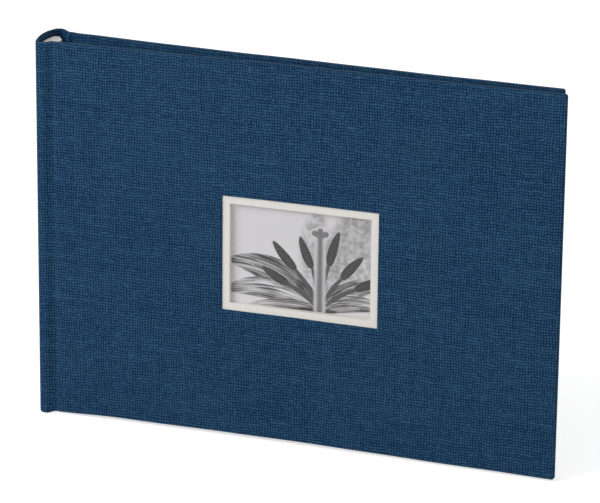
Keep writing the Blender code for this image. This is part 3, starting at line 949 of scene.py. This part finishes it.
class Print:
    """A generic flower in greys, in mm from the lower left corner of the sight opening."""

    def __init__(self):
        px, _, pz = split(object_place())
        self.x = (px - SIGHT[0]) / MM
        self.y = (pz - SIGHT[2]) / MM
        self.wide, self.tall = (SIGHT[1] - SIGHT[0]) / MM, (SIGHT[3] - SIGHT[2]) / MM
        self.base = (FLOWER_BASE[0] * self.wide, FLOWER_BASE[1] * self.tall)
        self.place = vector(self.x, self.y)
        self.grain = noise(self.place, 7.0, 2.0)
        self.mottle = noise(self.place, 0.32, 4.0, 0.62, 0.5)
        self.stroke_group = shape_group(stroke_shape, *LINE, "first", "last", "swell", "bend", "soft")
        self.pod_group = shape_group(pod_shape, *LINE, "width", "fullness", "bend", "soft")
        ground = mix(ramp(self.y, 0.0, self.tall), tone_of(220), tone_of(216))
        self.tone = ground * (0.99 + 0.02 * self.mottle)

    def shape(self, group, values, shift=None):
        """Coverage, place across from -1 to 1 and place along from 0 to 1 of a shape."""
        place = (self.x, self.y) if shift is None else (self.x + shift, self.y + shift)
        made = node("ShaderNodeGroup", node_tree=group)
        for socket, value in zip(made.inputs, (*place, *values)):
            plug(socket, value)
        return [Field(socket) for socket in list(made.outputs)[:3]]

    def stroke(self, *values):
        return self.shape(self.stroke_group, values)

    def pod(self, *values, shift=None):
        return self.shape(self.pod_group, values, shift)

    def lay(self, tone, coverage):
        """Lays a tone over what is there."""
        self.tone = mix(coverage, self.tone, tone)

    def ray(self, lean, near, far, turn=0.0):
        """Ends of a line from the flower's base, leaning from upright, in degrees."""
        a, b = math.radians(lean), math.radians(lean + turn)
        x0, y0 = self.base[0] + near * math.sin(a), self.base[1] + near * math.cos(a)
        return x0, y0, x0 + (far - near) * math.sin(b), y0 + (far - near) * math.cos(b)

    def blurred_petal(self, lean, reach, half, light):
        cover, _, _ = self.pod(*self.ray(lean, 2.0, reach), half, 1.1, 1.0, 2.4)
        body = mix(ramp(self.mottle, 0.34, 0.64), tone_of(light * 0.80), tone_of(light * 1.10))
        self.lay(body, cover * 0.82)

    def veined_petal(self, lean, reach, half, light, bend):
        cover, side, along = self.pod(*self.ray(lean, 1.0, reach), half, 0.85, bend, 0.35)
        veins = noise(vector(along * 2.2, side * 6.5, lean), 1.0, 4.0, 0.66)
        folds = noise(vector(along * 1.6, side * 1.6, lean + 40.0), 1.0, 1.0)
        body = mix(ramp(veins, 0.38, 0.60), tone_of(light * 0.42), tone_of(light))
        body = body * mix(ramp(folds, 0.35, 0.65), 0.62, 1.12)
        body = body * mix(ramp(calc("ABSOLUTE", side), 0.55, 1.0), 1.0, 0.72)
        body = mix(ramp(side, 0.86, 0.98), body, tone_of(224))
        self.lay(body, cover)

    def petals(self):
        for petal in ((-2.0, 44.0, 7.0, 186), (24.0, 56.0, 9.0, 172), (47.0, 50.0, 7.5, 190)):
            self.blurred_petal(*petal)
        for petal in ((-66.0, 45.0, 6.4, 190, -5.0), (-84.0, 43.0, 5.4, 212, -4.5),
                      (64.0, 31.0, 4.4, 186, 3.0), (83.0, 29.0, 4.0, 214, 2.4),
                      (-97.0, 36.0, 3.0, 200, -2.0), (-44.0, 17.0, 2.4, 150, -1.0)):
            self.veined_petal(*petal)
        shadow, _, _ = self.pod(self.base[0] - 10.0, 0.6, self.base[0] + 8.0, 0.9, 1.1, 1.0, 0.0, 0.5)
        self.lay(tone_of(74), shadow * 0.9)

    def stamen(self, number, rough):
        """Dark pod on a tapering stalk."""
        lean = STAMEN_SPREAD * (2.0 * number / (STAMENS - 1) - 1.0)
        reach = 34.0 + 3.5 * (number % 2) - 0.05 * abs(lean)
        turn = math.copysign(5.0 + 3.0 * (number % 3), lean)
        bow = math.copysign(0.6, lean)
        middle = 0.56 * reach
        stalk, side, _ = self.stroke(*self.ray(lean, 3.0, middle), 0.5, 0.62, 0.42, bow, 0.25)
        self.lay(mix(calc("ABSOLUTE", side), tone_of(104), tone_of(76)), stalk)
        pod_ends = self.ray(lean, middle - 0.3, reach, turn)
        rim, _, _ = self.pod(*pod_ends, 2.55, 0.72, 0.3, 0.4)
        self.lay(self.tone * 0.25 + tone_of(222) * 0.75, rim * 0.45)
        body, side, _ = self.pod(*pod_ends, 2.15, 0.72, 0.3, 0.28, shift=(rough - 0.5) * 0.9)
        shade = mix(ramp(rough, 0.35, 0.65), tone_of(64), tone_of(98))
        self.lay(shade * mix(calc("ABSOLUTE", side), 1.1, 0.8), body)

    def pistil(self):
        """Pale stem, darker inside, under a lobed head."""
        top = (self.base[0], self.base[1] + PISTIL_TOP)
        halo, _, _ = self.stroke(*self.base, *top, 2.7, 2.3, 0.0, 0.0, 0.8)
        self.lay(tone_of(206), halo)
        turns = [math.radians(lean) for lean in LOBE_LEANS]
        tips = [(top[0] + 2.9 * math.sin(a), top[1] + 2.3 * math.cos(a)) for a in turns]
        for tip in tips:
            rim, _, _ = self.stroke(*top, *tip, 1.7, 2.05, 0.0, 0.0, 0.4)
            self.lay(tone_of(218), rim)
        stem, side, _ = self.stroke(*self.base, *top, 2.1, 1.75, 0.0, 0.0, 0.6)
        core = mix(ramp(calc("ABSOLUTE", side), 0.1, 1.0), tone_of(124), tone_of(188))
        self.lay(core * (0.9 + 0.2 * self.mottle), stem)
        for tip in tips:
            lobe, _, _ = self.stroke(*top, *tip, 1.1, 1.4, 0.0, 0.0, 0.5)
            self.lay(mix(self.mottle, tone_of(108), tone_of(146)), lobe)

    def white_border(self):
        """Bare paper beyond the picture, under the mat."""
        inside = ramp(calc("MINIMUM", self.x + 2.5, self.wide + 2.5 - self.x), 0.0, 0.05)
        inside = inside * ramp(calc("MINIMUM", self.y + 3.0, self.tall + 3.0 - self.y), 0.0, 0.05)
        self.tone = mix(inside, tone_of(232), self.tone)


def print_material():
    material, shader = begin_material("photo_print")
    flower = Print()
    flower.petals()
    rough = noise(flower.place, 1.9, 3.0, 0.7)
    for number in range(STAMENS):
        flower.stamen(number, rough)
    flower.pistil()
    flower.tone = flower.tone * (0.97 + 0.06 * flower.grain)
    flower.white_border()
    set_shader(shader, Base_Color=grey(flower.tone, (1.0, 0.98, 1.0)),
               Roughness=mix(flower.grain, 0.34, 0.42), Normal=bump(flower.grain, 0.01 * MM, 0.3))
    shader.inputs["Specular IOR Level"].default_value = 0.25
    return material


# ---------------------------------------------------------------- carried-over nodes
def dress_node(name, material, bevel=0.0):
    """Gives a CAD node its material and, with a modifier, slightly rounded edges."""
    piece = frame["nodes"][name]
    piece.data.materials.clear()
    piece.data.materials.append(material)
    piece.data.polygons.foreach_set("use_smooth", [True] * len(piece.data.polygons))
    piece.data.set_sharp_from_angle(angle=math.radians(35.0))
    if bevel:
        rounding = piece.modifiers.new("rounding", "BEVEL")
        rounding.width = bevel
        rounding.segments = 3
        rounding.limit_method = "ANGLE"
        rounding.angle_limit = math.radians(40.0)
        rounding.harden_normals = False


def dress_frame():
    board, card = board_material(), card_material()
    paper = paper_material("white_paper", (226, 225, 220), (239, 238, 234))
    guard = paper_material("guard_paper", (219, 217, 214), (235, 233, 230), 900.0)
    gauze = gauze_material()
    for name in ("front_board", "back_board"):
        dress_node(name, board, 0.3 * MM)
    dress_node("spine_card", board, 0.1 * MM)
    dress_node("window_mat", card, 0.28 * MM)
    dress_node("cover_picture", print_material())
    dress_node("picture_pocket", paper, 0.04 * MM)
    dress_node("spine_mull", gauze)
    dress_node("spine_lining_paper", paper)
    for number in range(FRONT_GUARD, BACK_GUARD + 1):
        dress_node(f"guard_strip_{number:02d}", guard, 0.08 * MM)
    return paper


# ---------------------------------------------------------------- stage
WORLD_LIGHT = 0.36               # strength of the surroundings as a light
FLOOR_GLOW = 0.62                # added to the floor for the camera only, as on a studio's sweep
FLOOR_ALBEDO = 0.86
FLOOR_REACH = 4.0
LENS = 209.94                    # mm, on a sensor 36 mm wide
VIEW_AZIMUTH, VIEW_ELEVATION, VIEW_ROLL = 20.577, 18.176, 0.612     # degrees
VIEW_DISTANCE = 1.5093
AIM = (SPINE_X + 121.57 * MM, 0.0, 85.91 * MM)


def toward(azimuth, elevation):
    """Unit direction, in degrees; azimuth 0 is in front of the cover and turns towards +X."""
    a, e = math.radians(azimuth), math.radians(elevation)
    return Vector((math.sin(a) * math.cos(e), -math.cos(a) * math.cos(e), math.sin(e)))


def build_stage():
    floor_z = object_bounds()[0].z
    corners = [(x * FLOOR_REACH, y * FLOOR_REACH, floor_z) for x, y in ((-1, -1), (1, -1), (1, 1), (-1, 1))]
    mesh = bpy.data.meshes.new("floor")
    mesh.from_pydata(corners, [], [[0, 1, 2, 3]])
    material, shader = begin_material("pale_floor")
    seen = Field(node("ShaderNodeLightPath").outputs["Is Camera Ray"])
    set_shader(shader, Base_Color=(FLOOR_ALBEDO, FLOOR_ALBEDO, FLOOR_ALBEDO, 1.0), Roughness=0.9,
               Emission_Strength=seen * FLOOR_GLOW)
    shader.inputs["Emission Color"].default_value = (1.0, 1.0, 1.0, 1.0)
    shader.inputs["Specular IOR Level"].default_value = 0.1
    mesh.materials.append(material)
    floor = bpy.data.objects.new("floor", mesh)
    bpy.context.scene.collection.objects.link(floor)
    floor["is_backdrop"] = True


def add_area_light(name, aim, azimuth, elevation, distance, size, power):
    """Square soft white light that faces the aim."""
    direction = toward(azimuth, elevation)
    light = bpy.data.lights.new(name, "AREA")
    light.size = size
    light.energy = power
    lamp = bpy.data.objects.new(name, light)
    lamp.location = aim + direction * distance
    lamp.rotation_mode = "QUATERNION"
    lamp.rotation_quaternion = direction.to_track_quat("Z", "Y")
    bpy.context.scene.collection.objects.link(lamp)


def light_scene():
    low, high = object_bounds()
    aim = (low + high) / 2.0
    add_area_light("key", aim, azimuth=-46.0, elevation=30.0, distance=1.5, size=0.9, power=13.4)
    add_area_light("fill", aim, azimuth=46.0, elevation=15.0, distance=1.8, size=1.4, power=5.0)
    add_area_light("back", aim, azimuth=205.0, elevation=15.0, distance=1.8, size=1.2, power=5.0)
    world = bpy.data.worlds.new("studio")
    world.use_nodes = True
    Field.tree = world.node_tree
    seen = Field(node("ShaderNodeLightPath").outputs["Is Camera Ray"])
    background = world.node_tree.nodes["Background"]
    background.inputs["Color"].default_value = (1.0, 1.0, 1.0, 1.0)
    plug(background.inputs["Strength"], mix(seen, WORLD_LIGHT, 1.0))
    bpy.context.scene.world = world


def add_camera():
    """Long lens from the front right, a little above, as the album was seen."""
    camera = bpy.data.cameras.new("camera")
    camera.lens = LENS
    camera.sensor_width = 36.0
    camera.clip_end = 30.0
    eye = bpy.data.objects.new("camera", camera)
    back = toward(VIEW_AZIMUTH, VIEW_ELEVATION)
    eye.location = Vector(AIM) + back * VIEW_DISTANCE
    roll = Matrix.Rotation(math.radians(VIEW_ROLL), 4, "Z")
    eye.rotation_mode = "QUATERNION"
    eye.rotation_quaternion = (back.to_track_quat("Z", "Y").to_matrix().to_4x4() @ roll).to_quaternion()
    bpy.context.scene.collection.objects.link(eye)
    bpy.context.scene.camera = eye


def main():
    paper = dress_frame()
    glassine = glassine_material()
    build_cloth(cloth_material())
    for name in SHEETS:
        build_sheet(name, glassine if name.startswith("interleaf") else paper)
    for side in (-1, 1):
        build_pastedown(side, paper)
    build_stage()
    light_scene()
    add_camera()
    bpy.context.scene.view_settings.view_transform = "Standard"


main()
